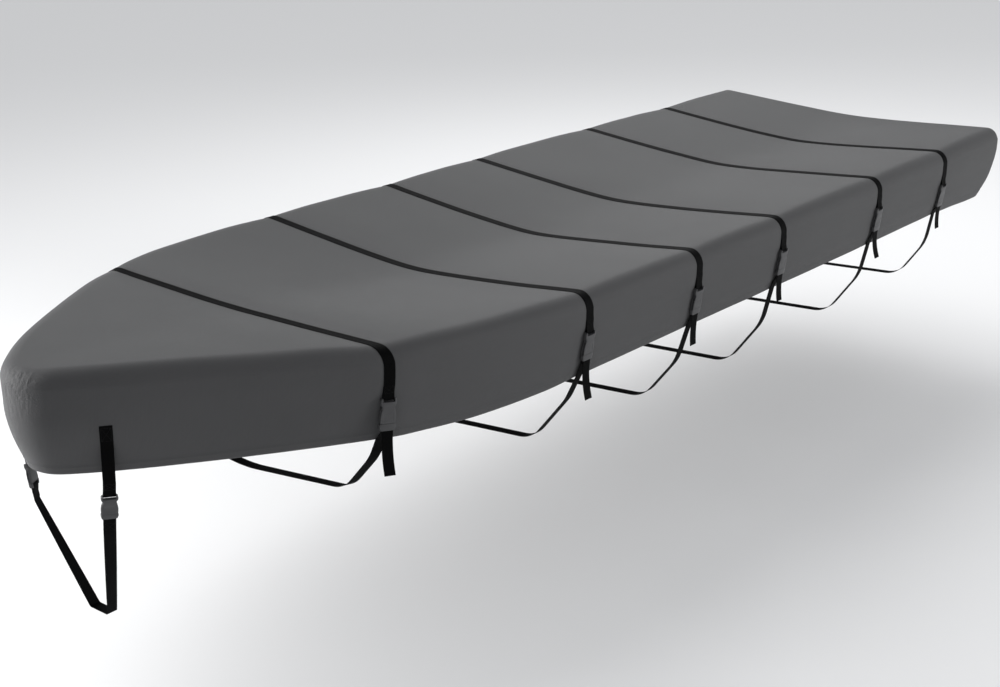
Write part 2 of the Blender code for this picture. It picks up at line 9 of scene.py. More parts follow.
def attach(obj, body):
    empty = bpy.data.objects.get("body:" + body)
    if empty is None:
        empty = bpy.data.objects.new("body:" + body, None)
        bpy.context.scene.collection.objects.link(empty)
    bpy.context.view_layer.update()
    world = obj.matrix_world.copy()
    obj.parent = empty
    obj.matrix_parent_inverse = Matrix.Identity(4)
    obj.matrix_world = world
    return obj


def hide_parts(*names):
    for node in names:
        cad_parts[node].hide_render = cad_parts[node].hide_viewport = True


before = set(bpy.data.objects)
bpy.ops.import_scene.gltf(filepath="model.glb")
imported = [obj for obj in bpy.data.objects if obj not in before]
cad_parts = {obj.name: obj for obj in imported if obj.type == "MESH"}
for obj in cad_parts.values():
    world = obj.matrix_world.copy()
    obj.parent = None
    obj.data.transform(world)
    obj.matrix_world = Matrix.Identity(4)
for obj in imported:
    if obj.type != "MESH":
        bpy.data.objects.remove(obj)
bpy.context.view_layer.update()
print("frame loaded")


# everyday helpers
def pick(piece):
    for thing in bpy.context.selected_objects:
        thing.select_set(False)
    piece.select_set(True)
    bpy.context.view_layer.objects.active = piece


def startEdit(piece):
    pick(piece)
    bpy.ops.object.mode_set(mode="EDIT")


def endEdit():
    bpy.ops.object.mode_set(mode="OBJECT")


def turnFacesOut():
    bpy.ops.mesh.select_all(action="SELECT")
    bpy.ops.mesh.normals_make_consistent(inside=False)


def applyModifier(piece, kind, **settings):
    pick(piece)
    step = piece.modifiers.new(kind.lower(), kind)
    for key, value in settings.items():
        setattr(step, key, value)
    bpy.ops.object.modifier_apply(modifier=step.name)


def softenEdges(piece, width, segments, bevelFrom, smoothTo):
    # both angles in degrees
    applyModifier(piece, "BEVEL", width=width, segments=segments, limit_method="ANGLE",
                  angle_limit=math.radians(bevelFrom))
    pick(piece)
    bpy.ops.object.shade_smooth_by_angle(angle=math.radians(smoothTo))


def pieceFromMesh(name, points, faces, material):
    mesh = bpy.data.meshes.new(name)
    mesh.from_pydata([tuple(p) for p in points], [], faces)
    mesh.materials.append(material)
    piece = bpy.data.objects.new(name, mesh)
    bpy.context.scene.collection.objects.link(piece)
    return piece


def standFor(piece, node):
    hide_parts(node)
    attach(piece, "root")


def giveUv(piece, name, places):
    # one place for each point of the mesh
    layer = piece.data.uv_layers.new(name=name)
    for loop in piece.data.loops:
        layer.data[loop.index].uv = places[loop.vertex_index]


def mix(a, b, share):
    return a + (b - a) * share


def clamp(value, low=0.0, high=1.0):
    return min(max(value, low), high)


def smoothStep(low, high, value):
    t = clamp((value - low) / (high - low))
    return t * t * (3 - 2 * t)


def placeIn(marks, value):
    # the step that holds a value, and how far into the step it is
    i = max(j for j in range(len(marks) - 1) if marks[j] <= value or j == 0)
    return i, (value - marks[i]) / (marks[i + 1] - marks[i])


def shares(count):
    return [step / count for step in range(count + 1)]


def flip(vector):
    return Vector((vector.x, -vector.y, vector.z))


# materials
def addNode(tree, kind, **settings):
    made = tree.nodes.new(kind)
    for key, value in settings.items():
        if key[0].isupper():
            made.inputs[key.replace("_", " ")].default_value = value
        else:
            setattr(made, key, value)
    return made


def join(source, target):
    # a socket's id_data is its node tree
    source.id_data.links.new(source, target)


def plainShader(name, colour, roughness, specular, sheen=0.0):
    material = bpy.data.materials.new(name)
    material.use_nodes = True
    shader = material.node_tree.nodes["Principled BSDF"]
    values = {"Base Color": (*colour, 1.0), "Roughness": roughness, "Specular IOR Level": specular,
              "Sheen Weight": sheen, "Sheen Roughness": 0.4}
    for key, value in values.items():
        shader.inputs[key].default_value = value
    return material, shader


def placeOn(material, kind):
    return addNode(material.node_tree, "ShaderNodeTexCoord").outputs[kind]


def noiseOn(vector, scale, detail=2.0, roughness=0.5):
    made = addNode(vector.id_data, "ShaderNodeTexNoise", Scale=scale, Detail=detail, Roughness=roughness)
    join(vector, made.inputs["Vector"])
    return made.outputs["Fac"]


def stripes(vector, direction, pitch, wander=0.0):
    # even bands across one direction, pitch in metres
    waveSize = math.pi / 10  # the wave node's own measure
    bands = addNode(vector.id_data, "ShaderNodeTexWave", bands_direction=direction, Scale=waveSize / pitch,
                    Distortion=wander, Detail=1.0, Detail_Scale=2.0)
    join(vector, bands.inputs["Vector"])
    return bands.outputs["Fac"]


def maths(operation, first, second):
    step = addNode(first.id_data, "ShaderNodeMath", operation=operation)
    join(first, step.inputs[0])
    if isinstance(second, (int, float)):
        step.inputs[1].default_value = second
    else:
        join(second, step.inputs[1])
    return step.outputs[0]


def rescale(value, low, high):
    step = addNode(value.id_data, "ShaderNodeMapRange", To_Min=low, To_Max=high)
    join(value, step.inputs["Value"])
    return step.outputs["Result"]


def tint(shader, value, dark, light):
    ramp = addNode(value.id_data, "ShaderNodeValToRGB")
    ramp.color_ramp.elements[0].color = (*dark, 1.0)
    ramp.color_ramp.elements[1].color = (*light, 1.0)
    join(value, ramp.inputs["Fac"])
    join(ramp.outputs["Color"], shader.inputs["Base Color"])


def reliefFrom(shader, height, distance, strength):
    bump = addNode(height.id_data, "ShaderNodeBump", Strength=strength, Distance=distance)
    join(height, bump.inputs["Height"])
    join(bump.outputs["Normal"], shader.inputs["Normal"])


clothLook = {
    "dark": (0.045, 0.045, 0.0465),
    "light": (0.067, 0.067, 0.0685),
    "threadPitch": 0.0013,
    "threadWander": 0.3,
    "weaveDepth": 0.00022,
    "weaveShade": (-0.14, 0.08),  # from between the threads to their crowns
    "relief": 0.6,
    "streakLength": 0.060,  # slubs: how far one thread keeps its shade
    "streakWidth": 2.2,  # in thread pitches
    "streakShade": 0.28,
    "cloudScale": 2.2,  # broad uneven shade
    "cloudShade": (0.30, 0.80),
    "roughness": (0.60, 0.78),
    "specular": 0.25,
    "sheen": 0.07,
    "puckerSize": 0.011,  # fine creases, only where the cloth bunches on the bow
    "puckerDepth": 9.0,  # in weave depths
}


def threadStreaks(uv, alongX):
    # a noise drawn out along the threads of one direction
    fine, long = 1 / (clothLook["streakWidth"] * clothLook["threadPitch"]), 1 / clothLook["streakLength"]
    place = addNode(uv.id_data, "ShaderNodeMapping", Scale=(long, fine, 1) if alongX else (fine, long, 1))
    join(uv, place.inputs["Vector"])
    return noiseOn(place.outputs["Vector"], 1.0, 1.0)


def makeCloth():
    look = clothLook
    material, shader = plainShader("cover_cloth_woven", look["light"], look["roughness"][1], look["specular"],
                                   look["sheen"])
    uv, place = placeOn(material, "UV"), placeOn(material, "Object")
    warp, weft = (stripes(uv, direction, look["threadPitch"], look["threadWander"]) for direction in "XY")
    weave = maths("MAXIMUM", warp, weft)
    slubs = maths("MULTIPLY", maths("ADD", threadStreaks(uv, True), threadStreaks(uv, False)), 0.5)
    # the colour: clouds, streaks and threads
    cloud = noiseOn(place, look["cloudScale"], 4.0, 0.55)
    soft = rescale(cloud, *look["cloudShade"])
    fine = rescale(slubs, -look["streakShade"], look["streakShade"])
    threads = rescale(weave, *look["weaveShade"])
    tint(shader, maths("ADD", maths("ADD", soft, fine), threads), look["dark"], look["light"])
    join(rescale(cloud, *look["roughness"]), shader.inputs["Roughness"])
    # the relief: threads, and creases on the bow
    creases = noiseOn(place, 1 / look["puckerSize"])
    ridges = maths("ABSOLUTE", maths("SUBTRACT", creases, 0.5), 0.0)
    bunched = addNode(material.node_tree, "ShaderNodeAttribute", attribute_name="bunched")
    puckers = maths("MULTIPLY", rescale(ridges, 0, -4 * look["puckerDepth"]), bunched.outputs["Fac"])
    height = maths("ADD", maths("ADD", weave, slubs), puckers)
    reliefFrom(shader, height, look["weaveDepth"], look["relief"])
    return material


webbingLook = {
    "dark": (0.0008, 0.0008, 0.0009),
    "light": (0.0036, 0.0036, 0.0038),
    "ribPitch": 0.0016,
    "ribWander": 0.2,
    "cordPitch": 0.0024,
    "depth": 0.00030,
    "relief": 0.8,
    "roughness": 0.58,
    "specular": 0.03,
}


def makeWebbing():
    look = webbingLook
    material, shader = plainShader("webbing_black_woven", look["light"], look["roughness"], look["specular"])
    uv = placeOn(material, "UV")
    ribs = stripes(uv, "X", look["ribPitch"], look["ribWander"])
    weave = maths("MULTIPLY", ribs, stripes(uv, "Y", look["cordPitch"]))
    tint(shader, weave, look["dark"], look["light"])
    reliefFrom(shader, weave, look["depth"], look["relief"])
    return material


plasticLook = {
    "dark": (0.040, 0.040, 0.042),
    "light": (0.055, 0.055, 0.057),
    "roughness": (0.36, 0.50),
    "specular": 0.35,
    "mottleScale": 30.0,
    "grainScale": 900.0,
    "grainDepth": 0.00008,
    "relief": 0.5,
}


def makePlastic():
    look = plasticLook
    rough = look["roughness"]
    material, shader = plainShader("buckle_plastic_grey", look["light"], rough[0], look["specular"])
    place = placeOn(material, "Object")
    mottle = noiseOn(place, look["mottleScale"], 3.0)
    tint(shader, mottle, look["dark"], look["light"])
    join(rescale(mottle, *rough), shader.inputs["Roughness"])
    reliefFrom(shader, noiseOn(place, look["grainScale"]), look["grainDepth"], look["relief"])
    return material


threadLook = {
    "black": ((0.006, 0.006, 0.006), (0.016, 0.016, 0.017)),  # dark, light
    "grey": ((0.030, 0.030, 0.031), (0.052, 0.052, 0.054)),
    "roughness": 0.6,
    "specular": 0.2,
    "twistScale": 1500.0,
}


def makeThread(colour):
    look = threadLook
    dark, light = look[colour]
    material, shader = plainShader("thread_" + colour, light, look["roughness"], look["specular"])
    tint(shader, noiseOn(placeOn(material, "Object"), look["twistScale"]), dark, light)
    return material


clothMaterial = makeCloth()
webbingMaterial = makeWebbing()
plasticMaterial = makePlastic()
blackThread = makeThread("black")
greyThread = makeThread("grey")
print("materials made")


# the cover
cover = {
    "cloth": 0.0015,
    "noseX": -2.484,
    "noseRadius": 0.175,
    "noseArc": 46.5,  # degrees of the nose's round that are one smooth front
    "noseColumns": 7,
    "bodyStart": -2.429,
    "fanEnd": -1.900,  # the columns fan out forward of this
    "sternFan": 2.100,  # and aft of this
    "arcRows": 12,
    "wallRows": 24,
    "topSteps": 34,
    "lengthSteps": 200,
    "crowding": 1.15,  # columns stand closer towards the bow
    "cornerColumns": 8,
    "sternX": 2.549,
    "sternCorner": 0.057,
    "cornerTighten": 0.3,  # the corner's radius shrinks by this share of the lean
    "sagFade": 0.140,  # the sag dies out this far down the stern's wall
    "shoulder": 0.055,
    "sagPower": 1.2,
    "sagSoft": 0.016,  # rounds the bottom of the sag
    "lip": (0.010, 0.006),  # the elastic edge curls in and down by this much
    "hemFold": 0.026,  # height of the turned-up hem
    "foldGap": 0.002,
    "hemStep": 0.0007,
    # below the fold's top or above the edge, share of the step
    "foldRows": ((0.000, 0.5), (0.002, 1), (0.008, 1), (0.014, 1)),
    "edgeRows": ((0.006, 1), (0.002, 0.8)),
    "lipRows": ((0.12, 0.35), (0.45, 0.8), (1.0, 1.0)),  # shares of the lip, in and down
    "easeDepth": 0.045,  # where the shoulder is eased: this near the crest
    "easeWidth": 0.11,  # and this near its side, or at an end
    "easeSides": (-2.44, 2.5),
    "easeEnds": (-2.36, 2.44),
    # x, half width, crest, sag, hem
    "sections": (
        (-2.484, 0.060, 0.1460, 0.000, -0.182),
        (-2.429, 0.128, 0.1490, 0.000, -0.182),
        (-2.300, 0.240, 0.1505, 0.002, -0.182),
        (-2.100, 0.377, 0.1445, 0.004, -0.185),
        (-1.900, 0.507, 0.1320, 0.006, -0.187),
        (-1.750, 0.594, 0.1235, 0.010, -0.190),
        (-1.610, 0.667, 0.1110, 0.015, -0.195),
        (-1.500, 0.698, 0.1110, 0.019, -0.201),
        (-1.250, 0.746, 0.1010, 0.040, -0.214),
        (-0.950, 0.779, 0.0905, 0.062, -0.217),
        (-0.758, 0.787, 0.0855, 0.064, -0.213),
        (-0.089, 0.789, 0.0725, 0.070, -0.221),
        (0.000, 0.789, 0.0715, 0.070, -0.222),
        (0.488, 0.795, 0.0655, 0.061, -0.224),
        (1.290, 0.790, 0.0555, 0.058, -0.238),
        (1.940, 0.780, 0.0445, 0.056, -0.248),
        (2.300, 0.775, 0.0440, 0.048, -0.262),
        (2.549, 0.773, 0.0450, 0.034, -0.268),
    ),
    # depth under the crest, lean inwards, more at the bow, more at the stern
    "side": (
        (0.105, 0.0020, -0.001, -0.002),
        (0.170, 0.0136, -0.011, -0.008),
        (0.240, 0.0260, -0.009, 0.008),
    ),
    "hemLean": (0.045, 0.003, 0.055),
}


def smoothValue(table, x, column):
    # a smooth curve through one column of a table
    xs = [row[0] for row in table]
    ys = [row[column] for row in table]
    i, t = placeIn(xs, clamp(x, xs[0], xs[-1]))

    def slope(j):
        low = max(j - 1, 0)
        high = min(j + 1, len(xs) - 1)
        return (ys[high] - ys[low]) / (xs[high] - xs[low])

    gap = xs[i + 1] - xs[i]
    level = (2 * t**3 - 3 * t**2 + 1) * ys[i] + (-2 * t**3 + 3 * t**2) * ys[i + 1]
    return level + gap * ((t**3 - 2 * t**2 + t) * slope(i) + (t**3 - t**2) * slope(i + 1))


def section(x, column):
    return smoothValue(cover["sections"], x, column)


def wallRows(crest, hem, bowShare, sternShare):
    # the wall's profile as (lean, down), from the rim of the top to the curled edge
    radius, arcRows = cover["shoulder"], cover["arcRows"]
    rows = []
    for step in range(arcRows):
        angle = math.radians(90 * step / arcRows)
        rows.append((radius * (1 - math.sin(angle)), radius * (1 - math.cos(angle))))
    depth = crest - hem
    hemLean = cover["hemLean"][0] + bowShare * cover["hemLean"][1] + sternShare * cover["hemLean"][2]
    table = [(radius * 0.6, 0.0), (radius, 0.0)]
    table += [(down, lean + bowShare * bow + sternShare * stern) for down, lean, bow, stern in cover["side"]]
    table.append((depth, hemLean))
    past = 0.05  # the curve runs straight on under the hem
    table.append((depth + past, hemLean + (hemLean - table[-2][1]) * past / (depth - table[-2][0])))
    foldTop = depth - cover["hemFold"]
    for share in shares(cover["wallRows"]):
        down = mix(radius, foldTop - cover["foldGap"], share)
        rows.append((smoothValue(table, down, 1), down))
    hemRows = [(foldTop + below, proud) for below, proud in cover["foldRows"]]
    hemRows += [(depth - above, proud) for above, proud in cover["edgeRows"]]
    rows += [(smoothValue(table, down, 1) - cover["hemStep"] * proud, down) for down, proud in hemRows]
    lipIn, lipDown = cover["lip"]
    rows += [(hemLean + lipIn * share, depth + lipDown * low) for share, low in cover["lipRows"]]
    return rows


def wallColumn(point, normal, inward, bowShare, shapeX):
    crest = section(shapeX, 2)
    reach = 1 / max(inward.dot(-normal), 0.2)
    rows = wallRows(crest, section(shapeX, 4), bowShare, 0)
    return [point + inward * (lean * reach) + Vector((0, 0, crest - down)) for lean, down in rows]


def sideColumn(x, middle=None):
    middle = x if middle is None else middle
    near = 0.01
    slope = (section(middle + near, 1) - section(middle - near, 1)) / (2 * near)
    normal = Vector((-slope, 1, 0)).normalized()
    fan = clamp((cover["fanEnd"] - middle) / (cover["fanEnd"] - cover["bodyStart"]))
    inward = Vector((-normal.x * fan, -normal.y, 0)).normalized()
    return wallColumn(Vector((x, section(x, 1), 0)), normal, inward, fan**2, middle)


def noseColumn(angle):
    centre = Vector((cover["noseX"] + cover["noseRadius"], 0, 0))
    normal = Vector((-math.cos(angle), math.sin(angle), 0))
    point = centre + normal * cover["noseRadius"]
    return wallColumn(point, normal, -normal, 1.0, point.x)


def sternColumn(angle):
    # each level turns on its own arc, between the side's lean and the stern's
    crest, hem = section(cover["sternX"], 2), section(cover["sternX"], 4)
    half = section(cover["sternX"] - cover["sternCorner"], 1)
    column = []
    for level, (side, back) in enumerate(zip(wallRows(crest, hem, 0, 0), wallRows(crest, hem, 0, 1))):
        shrink = 1 if level < cover["arcRows"] else cover["cornerTighten"]
        radius = cover["sternCorner"] - side[0] * shrink
        column.append(Vector((cover["sternX"] - back[0] - radius * (1 - math.sin(angle)),
                              half - side[0] - radius * (1 - math.cos(angle)), crest - side[1])))
    return column


def topLine(rim):
    # across the top, from just inside the rim to the centreline
    sag = section(rim.x, 3)
    soft = cover["sagSoft"]
    half = cover["sagPower"] / 2
    line = []
    for share in shares(cover["topSteps"])[1:]:
        t = 1 - share
        rise = ((t * t + soft)**half - soft**half) / ((1 + soft)**half - soft**half)
        line.append(Vector((rim.x, rim.y * t, rim.z - sag * (1 - rise))))
    return line


def coverGrid():
    # the starboard half's walls and lines across the top, then both ends
    topSteps, count = cover["topSteps"], cover["lengthSteps"]
    split = math.radians(cover["noseArc"] / 2)
    side = [noseColumn(split * (1 + share)) for share in shares(cover["noseColumns"])]
    first, last = cover["bodyStart"], cover["sternX"] - cover["sternCorner"]
    end, corner = sideColumn(last), sternColumn(0)
    for along in shares(count)[1:-1]:
        x = mix(first, last, along**cover["crowding"])
        # the last columns fan out into the corner's own lean
        share = smoothStep(cover["sternFan"], last, x)
        side.append([p + (c - e) * share for p, c, e in zip(sideColumn(x), corner, end)])
    turns = cover["cornerColumns"]
    side += [sternColumn(math.radians(90 / turns * step)) for step in range(turns + 1)]
    lines = [topLine(column[0]) for column in side]
    front = [noseColumn(split * (1 - share)) for share in shares(topSteps)[1:]]
    lines[0] = [column[0] for column in front]
    corner = side[-1]
    back = []
    for step, point in enumerate(lines[-1], start=1):
        drop = point.z - corner[0].z
        drops = [drop * (1 - smoothStep(0, cover["sagFade"], corner[0].z - p.z)) for p in corner]
        back.append([Vector((p.x, p.y * (1 - step / topSteps), p.z + d)) for p, d in zip(corner, drops)])
    return side, lines, front, back


def coverMesh():
    side, lines, front, back = coverGrid()
    rowCount, topSteps = len(side[0]), cover["topSteps"]
    points, index = [], {}

    def vertex(key, point):
        if key not in index:
            index[key] = len(points)
            points.append(point)
        return index[key]

    rims = []
    for j, column in enumerate(side):
        keys = [vertex(("rim", 1, j), column[0])]
        keys += [vertex(("top", 1, j, k), lines[j][k]) for k in range(topSteps)]
        keys += [vertex(("top", -1, j, k), flip(lines[j][k])) for k in range(topSteps - 2, -1, -1)]
        keys.append(vertex(("rim", -1, j), flip(column[0])))
        rims.append(keys)
    faces = []
    for fore, aft in zip(rims, rims[1:]):
        faces += [(fore[k], fore[k + 1], aft[k + 1], aft[k]) for k in range(len(fore) - 1)]

    def mirrored(half):
        return half + [[flip(p) for p in column] for column in half[-2::-1]]

    def wall(tag, rimKey, column):
        return [rimKey] + [vertex((tag, r), column[r]) for r in range(1, rowCount)]

    ring = [wall(("s", 1, j), rims[j][0], column) for j, column in enumerate(side)]
    ring += [wall(("b", k), rims[-1][k + 1], column) for k, column in enumerate(mirrored(back))]
    for j in range(len(side) - 1, -1, -1):
        ring.append(wall(("s", -1, j), rims[j][-1], [flip(p) for p in side[j]]))
    for k, column in reversed(list(enumerate(mirrored(front)))):
        ring.append(wall(("f", k), rims[0][k + 1], column))
    for here, there in zip(ring, ring[1:] + ring[:1]):
        faces += [(here[r], there[r], there[r + 1], here[r + 1]) for r in range(rowCount - 1)]
    hemRow = cover["arcRows"] + cover["wallRows"] + 2
    hemLine = [mix(points[column[hemRow]], points[column[hemRow + 1]], 0.3) for column in ring]
    return points, faces, hemLine


strapXs = (-1.613, -0.764, -0.096, 0.488, 1.290, 1.932)
folds = {
    "bayRise": 0.0045,  # the cloth lifts this much between two straps
    "bayReach": 0.24,  # and is at full height this far from one
    "bayEnds": ((-2.1, -1.5), (2.5, 2.2)),
    "strapPress": 0.0015,  # it is drawn down under a strap
    "pressReach": 0.05,
    "calm": (-2.47, -2.2),  # no waves forward of this
    "sway": 0.0022,  # long soft undulation
    "swayWaves": (1.7, 2.3, 3.0),  # waves in a metre
    "swayStart": (0.0, 0.0, 4.0),
    "ripple": 0.0006,  # shorter waves
    "rippleWaves": (7, 7, 5),
    "crumple": 0.0014,  # creases high on the blunt bow
    "creaseSize": 0.019,
    "creaseSlant": (11, 9),
    "bunchAlong": (-2.38, -2.45),  # the creases' patch, from none to full
    "bunchAcross": (0.14, 0.02),
    "bunchLow": (-0.10, 0.11),
    "bunchHigh": (0.150, 0.125),
}


def bunching(point):
    # how much the cloth bunches here, high on the blunt bow
    return (smoothStep(*folds["bunchAlong"], point.x) * smoothStep(*folds["bunchAcross"], abs(point.y))
            * smoothStep(*folds["bunchLow"], point.z) * smoothStep(*folds["bunchHigh"], point.z))


def wave(point, waves, start=(0, 0, 0)):
    return noise.noise(Vector([at * often + first for at, often, first in zip(point, waves, start)]))


def foldHeight(point, normal):
    nearest = min(abs(point.x - x) for x in strapXs)
    height = -folds["strapPress"] * math.exp(-(nearest / folds["pressReach"])**2)
    fore, aft = folds["bayEnds"]
    inBays = smoothStep(0.0, folds["bayReach"], nearest)
    inBays *= smoothStep(*fore, point.x) * smoothStep(*aft, point.x)
    height += folds["bayRise"] * inBays * clamp(normal.z + 0.4)
    calm = smoothStep(*folds["calm"], point.x)
    height += folds["sway"] * calm * wave(point, folds["swayWaves"], folds["swayStart"])
    height += folds["ripple"] * calm * wave(point, folds["rippleWaves"])
    nose = bunching(point)
    if nose > 0:
        size = 1 / folds["creaseSize"]
        down, over = folds["creaseSlant"]
        x, y, z = point
        spot = Vector((y * size + z * down, z * size * 0.8 - y * over, x * size))
        ridges = 1 - 2 * abs(noise.noise(spot)) - 0.8 * abs(noise.noise(spot * 2.3))
        height += folds["crumple"] * nose * (ridges - 0.5)
    return height


def girthAt(vertex):
    # how far round from the centreline it lies
    x, y, z = vertex.co
    return y + math.copysign(1, y) * (section(x, 2) - z) * (1 - abs(vertex.normal.z))


def buildCover():
    points, faces, hemLine = coverMesh()
    piece = pieceFromMesh("cover_cloth", points, faces, clothMaterial)
    group = piece.vertex_groups.new(name="shoulder")
    for vertex in piece.data.vertices:
        x, y, z = vertex.co
        edge = section(clamp(x, *cover["easeSides"]), 1) - abs(y)
        nearEnd = x < cover["easeEnds"][0] or x > cover["easeEnds"][1]
        if section(x, 2) - z < cover["easeDepth"] and (edge < cover["easeWidth"] or nearEnd):
            group.add([vertex.index], 1.0, "REPLACE")
    applyModifier(piece, "SMOOTH", factor=0.5, iterations=10, vertex_group="shoulder")
    moved = [v.co + v.normal * foldHeight(v.co, v.normal) for v in piece.data.vertices]
    piece.data.vertices.foreach_set("co", [value for point in moved for value in point])
    piece.data.update()
    # cloth patterns follow the surface: along the boat, and round the girth
    giveUv(piece, "girth", [(v.co.x, girthAt(v)) for v in piece.data.vertices])
    bunched = piece.data.attributes.new(name="bunched", type="FLOAT", domain="POINT")
    bunched.data.foreach_set("value", [bunching(v.co) for v in piece.data.vertices])
    piece.data.shade_smooth()
    return piece, hemLine


coverPiece, hemLine = buildCover()
bpy.context.view_layer.update()
clothSurface = BVHTree.FromObject(coverPiece, bpy.context.evaluated_depsgraph_get())
print("cover shaped:", len(coverPiece.data.polygons), "faces")


# webbing
webbing = {
    "width": 0.038,
    "thick": 0.0015,
    "gap": 0.0003,  # between layers that touch
    "seam": 0.040,  # length of a sewn fold-back
    "clear": 0.0020,  # off the hem's edge
    "step": 0.012,  # spacing of the band's cross lines
    "acrossSteps": 6,
    "edge": 0.0004,
    "bevelFrom": 50,
    "smoothTo": 40,
    "halfStep": 0.020,  # a line over the cover lies between two sections this far to each side
    "tangent": 0.03,
    "hair": 0.0001,  # keeps layers from meeting
    "socketGap": 0.0006,  # from the layers under a socket
    "heap": (2.2, 1.95),  # height over a fold-back, midway and at its end, in thicknesses
    "easeOff": 1.45,  # down on the cloth after this many fold-backs
    "wrapStart": 0.004,  # from a bar to where the wrap round it ends
    "turnSteps": 5,
    "bendSteps": 12,
    "hullRadii": (0.220, 0.120, 0.600, 0.120, 0.220),  # flank, chine, keel, chine, flank
}
# x, bar's drop, stand-off of the plug, tail, flare, flank, chine, keel
strapTable = (
    (-1.613, 0.160, 0.018, 0.132, 0.036, (0.588, -0.264), (0.470, -0.402), -0.455),
    (-0.764, 0.130, 0.002, 0.135, 0.030, (0.697, -0.310), (0.550, -0.494), -0.540),
    (-0.096, 0.136, 0.002, 0.119, 0.014, (0.702, -0.365), (0.560, -0.544), -0.585),
    (0.488, 0.122, 0.002, 0.105, 0.016, (0.716, -0.375), (0.568, -0.572), -0.608),
    (1.290, 0.122, 0.002, 0.112, 0.030, (0.716, -0.380), (0.575, -0.575), -0.612),
    (1.932, 0.147, 0.002, 0.100, 0.016, (0.711, -0.390), (0.590, -0.562), -0.600),
)
buckle = {
    "thick": 0.013,
    "strapSize": (0.104, 0.052),
    "bowSize": (0.080, 0.050),
    "bar": 0.005,
    "crossbar": 0.004,
    "crossbarUp": 0.005,
    "crossbarGap": 0.0004,
    "face": 0.0025,
}
rest = webbing["gap"] + webbing["thick"] / 2  # middle of a band that lies on something


def distancesOf(points):
    marks = [0.0]
    for a, b in zip(points, points[1:]):
        marks.append(marks[-1] + (b - a).length)
    return marks


def onCloth(point, lift):
    spot, normal, _, _ = clothSurface.find_nearest(point)
    return spot + normal * lift, normal


def coverLine(x, halfStep):
    # over the cover from hem to hem, port first, and the distances along it
    def half(at):
        column = sideColumn(at, x)
        return column[:-3][::-1] + topLine(column[0])

    pairs = [((a + b) / 2, (b - a).normalized()) for a, b in zip(half(x - halfStep), half(x + halfStep))]
    line = [(flip(p), flip(w)) for p, w in pairs] + pairs[:-1][::-1]
    return line, distancesOf([p for p, _ in line])


def spotOn(line, marks, s):
    i, share = placeIn(marks, s)
    return mix(line[i][0], line[i + 1][0], share), mix(line[i][1], line[i + 1][1], share).normalized()


def distanceUp(line, marks, x, drop):
    # from the port hem to where the line has come within this drop of the crest
    goal = section(x, 2) - drop
    high = min(i for i, (p, _) in enumerate(line) if p.z > goal)
    low, top = line[high - 1][0].z, line[high][0].z
    return mix(marks[high - 1], marks[high], (goal - low) / (top - low))


def heightAt(value, steps):
    for (a, low), (b, high) in zip(steps, steps[1:]):
        if value <= b:
            return mix(low, high, smoothStep(a, b, value))
    return steps[-1][1]


def onCover(line, marks, steps, start, end):
    # the stretch between two distances, with its height over the cloth
    count = max(2, round(abs(end - start) / (webbing["step"] / 2)))
    stretch = []
    for share in shares(count):
        s = mix(start, end, share)
        point, across = spotOn(line, marks, s)
        stretch.append((point, across, heightAt(s, steps)))
    return stretch


def rounded(corners, radii, steps):
    path = [corners[0]]
    for before, corner, after, radius in zip(corners, corners[1:], corners[2:], radii):
        into = (corner - before).normalized()
        out = (after - corner).normalized()
        half = into.angle(out) / 2
        inward = (out - into).normalized()
        ahead = (into + out).normalized()
        centre = corner + inward * (radius / math.cos(half))
        for step in range(steps + 1):
            angle = (2 * step / steps - 1) * half
            path.append(centre - inward * (radius * math.cos(angle)) + ahead * (radius * math.sin(angle)))
    path.append(corners[-1])
    return path


def filled(path):
    # extra points on the straights
    result = [path[0]]
    for a, b in zip(path, path[1:]):
        count = max(1, round((b - a).length / (2 * webbing["step"])))
        result += [mix(a, b, share) for share in shares(count)[1:]]
    return result


def buckleFrame(point, across, up):
    up = up.normalized()
    normal = across.cross(up).normalized()
    across = up.cross(normal).normalized()
    placed = Matrix((across, up, normal)).transposed().to_4x4()
    placed.translation = point
    return placed


def axisOf(placed, column):
    return placed.col[column].to_3d()


def inPlace(placed, corners):
    # a rounded path in a buckle's own axes, brought to where the buckle is
    path = rounded(corners, (rest, rest), webbing["turnSteps"])
    return [(placed @ p, axisOf(placed, 0), None) for p in path]


def barWrap(placed):
    bar = buckle["bar"]
    corners = [Vector((0, 0, -rest)), Vector((0, -bar - rest, -rest)), Vector((0, -bar - rest, bar + rest)),
               Vector((0, 0, bar + rest))]
    return inPlace(placed, corners)


def crossbarDepth():
    # the crossbar lies behind the face, with room for the webbing between
    room = 2 * webbing["gap"] + webbing["thick"] + buckle["crossbarGap"]
    return buckle["thick"] - buckle["face"] - room - buckle["crossbar"]


def crossbarWrap(placed, length, below):
    top = -length + buckle["crossbarUp"] + buckle["crossbar"] + rest
    back = crossbarDepth() - rest
    front = crossbarDepth() + buckle["crossbar"] + rest
    corners = [Vector((0, -length - below, back)), Vector((0, top, back)), Vector((0, top, front)),
               Vector((0, -length - below, front))]
    return inPlace(placed, corners)


